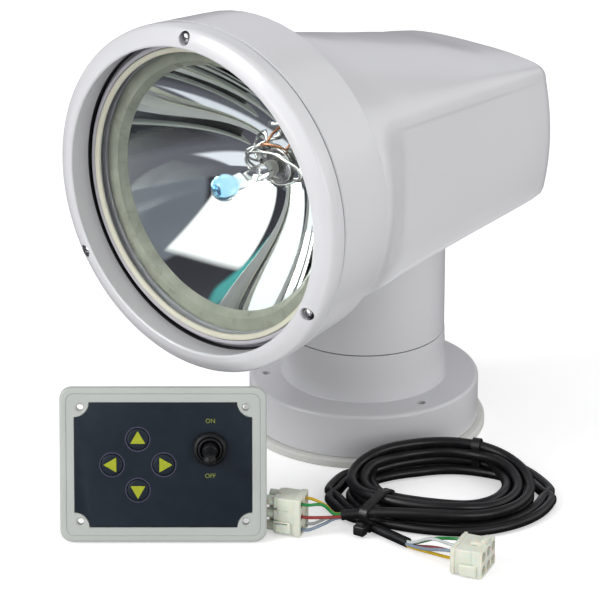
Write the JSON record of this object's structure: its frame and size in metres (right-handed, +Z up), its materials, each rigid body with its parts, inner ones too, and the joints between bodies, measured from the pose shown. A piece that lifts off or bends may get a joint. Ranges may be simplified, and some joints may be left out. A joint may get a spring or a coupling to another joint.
{
  "type": "remote control searchlight",
  "caption": "Pedestal searchlight with panning turret and tilting lamp head, a push-button control panel and a coiled extension cable with nylon connectors.",
  "frame": {"origin": "on the pan axis, at the underside of the base", "axes": "+Z up along the pan axis; the lamp's beam leaves along -Y at rest; the panel and the cable lie in front of the base"},
  "size_m": [0.2418, 0.2985, 0.2409],
  "materials": {
    "white_gloss_plastic": "moulded gloss white",
    "pale_rubber": "matt pale grey",
    "cream_silicone": "satin cream",
    "black_rubber": "matt black",
    "grey_plastic": "moulded matt grey",
    "stainless_steel": "bright stainless",
    "sintered_bronze": "sintered bronze",
    "natural_nylon": "natural milky nylon",
    "mirror_aluminium": "vacuum-coated mirror",
    "clear_glass": "polished clear",
    "zinc_plated_steel": "zinc plated",
    "grey_green_plastic": "fine textured grey-green",
    "navy_overlay": "printed dark navy film",
    "circuit_board": "green laminate",
    "black_vinyl": "satin black jacket",
    "wire_vinyl": "coloured insulation"
  },
  "bodies": {
    "base": {"base_gasket": "pale_rubber", "base_plate": "grey_plastic", "base_flange": "white_gloss_plastic", "base_screw_1": "stainless_steel", "base_screw_2": "stainless_steel", "base_screw_3": "stainless_steel", "supply_gland": "black_rubber", "pan_bush": "sintered_bronze", "pan_seal": "black_rubber", "pan_motor": "zinc_plated_steel", "panel_plate": "grey_green_plastic", "panel_overlay": "navy_overlay", "panel_box": "grey_green_plastic", "panel_board": "circuit_board", "box_screw_1": "stainless_steel", "box_screw_2": "stainless_steel", "toggle_switch": "grey_plastic", "toggle_nut": "black_rubber", "panel_gland": "black_rubber", "cable_coil": "black_vinyl", "cable_lead_left": "black_vinyl", "cable_lead_right": "black_vinyl", "cable_wires_left": "wire_vinyl", "cable_wires_right": "wire_vinyl", "connector_left": "natural_nylon", "connector_right": "natural_nylon", "cable_tie_front": "black_vinyl", "cable_tie_back": "black_vinyl"},
    "pan_pinion": {"pan_pinion": "natural_nylon"},
    "turret": {"turret_shell": "white_gloss_plastic", "pan_spindle": "stainless_steel", "pan_gear": "natural_nylon", "spindle_nut": "stainless_steel", "tilt_yoke": "grey_plastic", "tilt_bush_left": "sintered_bronze", "tilt_bush_right": "sintered_bronze", "tilt_motor": "zinc_plated_steel"},
    "tilt_pinion": {"tilt_pinion": "natural_nylon"},
    "head": {"head_housing": "white_gloss_plastic", "front_ring": "white_gloss_plastic", "ring_screw_1": "stainless_steel", "ring_screw_2": "stainless_steel", "ring_screw_3": "stainless_steel", "housing_seal": "black_rubber", "lens_gasket": "cream_silicone", "lens_glass": "clear_glass", "reflector": "mirror_aluminium", "bulb_holder": "stainless_steel", "bulb_base": "stainless_steel", "bulb_glass": "clear_glass", "bulb_clip": "stainless_steel", "tilt_axle": "stainless_steel", "tilt_sector": "natural_nylon"},
    "toggle_lever": {"toggle_lever": "black_rubber"},
    "button_up": {"button_up": "navy_overlay"},
    "button_left": {"button_left": "navy_overlay"},
    "button_right": {"button_right": "navy_overlay"},
    "button_down": {"button_down": "navy_overlay"}
  },
  "joints": [
    {"name": "pan", "type": "hinge", "parent": "base", "child": "turret", "pos_m": [0, 0, 0.0512], "axis": [0, 0, 1], "range_deg": [-160, 160]},
    {"name": "pan_pinion_spin", "type": "hinge", "parent": "base", "child": "pan_pinion", "pos_m": [0.01768, 0.01768, 0.0315], "axis": [0, 0, 1], "range_deg": [-640, 640]},
    {"name": "tilt", "type": "hinge", "parent": "turret", "child": "head", "pos_m": [0, 0, 0.15], "axis": [1, 0, 0], "range_deg": [-20, 20]},
    {"name": "tilt_pinion_spin", "type": "hinge", "parent": "turret", "child": "tilt_pinion", "pos_m": [0, 0.02245, 0.1301], "axis": [1, 0, 0], "range_deg": [-80, 80]},
    {"name": "toggle", "type": "hinge", "parent": "base", "child": "toggle_lever", "pos_m": [0.02927, -0.15047, 0.04487], "axis": [-0.766, -0.6428, 0], "range_deg": [0, 26]},
    {"name": "press_up", "type": "slide", "parent": "base", "child": "button_up", "axis": [-0.6237, 0.7433, -0.2419], "range_m": [0, 0.0008], "stiffness_N_per_m": 400, "springref_m": -0.0006},
    {"name": "press_left", "type": "slide", "parent": "base", "child": "button_left", "axis": [-0.6237, 0.7433, -0.2419], "range_m": [0, 0.0008], "stiffness_N_per_m": 400, "springref_m": -0.0006},
    {"name": "press_right", "type": "slide", "parent": "base", "child": "button_right", "axis": [-0.6237, 0.7433, -0.2419], "range_m": [0, 0.0008], "stiffness_N_per_m": 400, "springref_m": -0.0006},
    {"name": "press_down", "type": "slide", "parent": "base", "child": "button_down", "axis": [-0.6237, 0.7433, -0.2419], "range_m": [0, 0.0008], "stiffness_N_per_m": 400, "springref_m": -0.0006}
  ],
  "couplings": [
    {"joint": "pan_pinion_spin", "follows": "pan", "ratio": -4},
    {"joint": "tilt_pinion_spin", "follows": "tilt", "ratio": -4}
  ]
}
